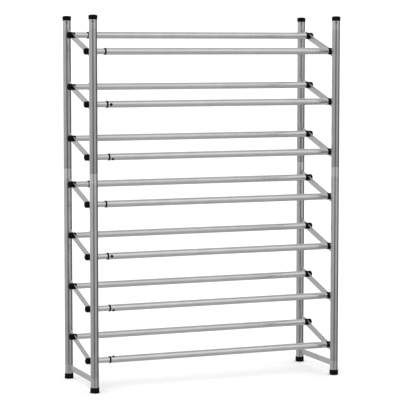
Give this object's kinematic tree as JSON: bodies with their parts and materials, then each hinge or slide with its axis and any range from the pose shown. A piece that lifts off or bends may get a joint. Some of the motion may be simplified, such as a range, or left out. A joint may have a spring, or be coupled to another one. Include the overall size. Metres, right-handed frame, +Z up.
{
  "type": "tiered shoe rack",
  "caption": "Free-standing chrome tube shoe rack: sloping tiers of paired telescoping rails between two end frames, in two stacked modules.",
  "frame": {"origin": "on the floor, under the middle of the rack as it stands in the picture, halfway between the left and right end frames and halfway between the front and back posts", "axes": "+X to the rack's right, along the rails; +Y to the back, where the rails are higher; +Z up"},
  "size_m": [0.7636, 0.2598, 1.0378],
  "materials": {
    "frame_chrome": "chrome-plated steel tube with a soft, slightly grey shine",
    "rail_chrome": "bright chrome-plated steel tube",
    "black_plastic": "black moulded plastic, low gloss"
  },
  "bodies": {
    "right_lower": {"post_right_front_lower": "frame_chrome", "post_right_back_lower": "frame_chrome", "foot_right_front": "black_plastic", "foot_right_back": "black_plastic", "crossbar_right": "frame_chrome", "strut_right_1": "frame_chrome", "strut_right_2": "frame_chrome", "strut_right_3": "frame_chrome", "strut_right_4": "frame_chrome", "rail_outer_front_1": "rail_chrome", "rail_outer_back_1": "rail_chrome", "rail_outer_front_2": "rail_chrome", "rail_outer_back_2": "rail_chrome", "rail_outer_front_3": "rail_chrome", "rail_outer_back_3": "rail_chrome", "rail_outer_front_4": "rail_chrome", "rail_outer_back_4": "rail_chrome"},
    "left_lower": {"post_left_front_lower": "frame_chrome", "post_left_back_lower": "frame_chrome", "foot_left_front": "black_plastic", "foot_left_back": "black_plastic", "crossbar_left": "frame_chrome", "strut_left_1": "frame_chrome", "strut_left_2": "frame_chrome", "strut_left_3": "frame_chrome", "strut_left_4": "frame_chrome", "rail_inner_front_1": "rail_chrome", "rail_inner_back_1": "rail_chrome", "rail_inner_front_2": "rail_chrome", "rail_inner_back_2": "rail_chrome", "rail_inner_front_3": "rail_chrome", "rail_inner_back_3": "rail_chrome", "rail_inner_front_4": "rail_chrome", "rail_inner_back_4": "rail_chrome"},
    "right_upper": {"post_right_front_upper": "frame_chrome", "post_right_back_upper": "frame_chrome", "cap_right_front": "black_plastic", "cap_right_back": "black_plastic", "strut_right_5": "frame_chrome", "strut_right_6": "frame_chrome", "strut_right_7": "frame_chrome", "rail_outer_front_5": "rail_chrome", "rail_outer_back_5": "rail_chrome", "rail_outer_front_6": "rail_chrome", "rail_outer_back_6": "rail_chrome", "rail_outer_front_7": "rail_chrome", "rail_outer_back_7": "rail_chrome"},
    "left_upper": {"post_left_front_upper": "frame_chrome", "post_left_back_upper": "frame_chrome", "cap_left_front": "black_plastic", "cap_left_back": "black_plastic", "strut_left_5": "frame_chrome", "strut_left_6": "frame_chrome", "strut_left_7": "frame_chrome", "rail_inner_front_5": "rail_chrome", "rail_inner_back_5": "rail_chrome", "rail_inner_front_6": "rail_chrome", "rail_inner_back_6": "rail_chrome", "rail_inner_front_7": "rail_chrome", "rail_inner_back_7": "rail_chrome"}
  },
  "joints": [
    {"name": "width_extension", "type": "slide", "parent": "right_lower", "child": "left_lower", "axis": [-1, 0, 0], "range_m": [-0.034, 0.45]},
    {"name": "module_lift", "type": "slide", "parent": "right_lower", "child": "right_upper", "axis": [0, 0, 1], "range_m": [0, 0.04]},
    {"name": "upper_width_extension", "type": "slide", "parent": "right_upper", "child": "left_upper", "axis": [-1, 0, 0], "range_m": [-0.034, 0.45]}
  ],
  "couplings": [
    {"joint": "upper_width_extension", "follows": "width_extension", "ratio": 1}
  ]
}
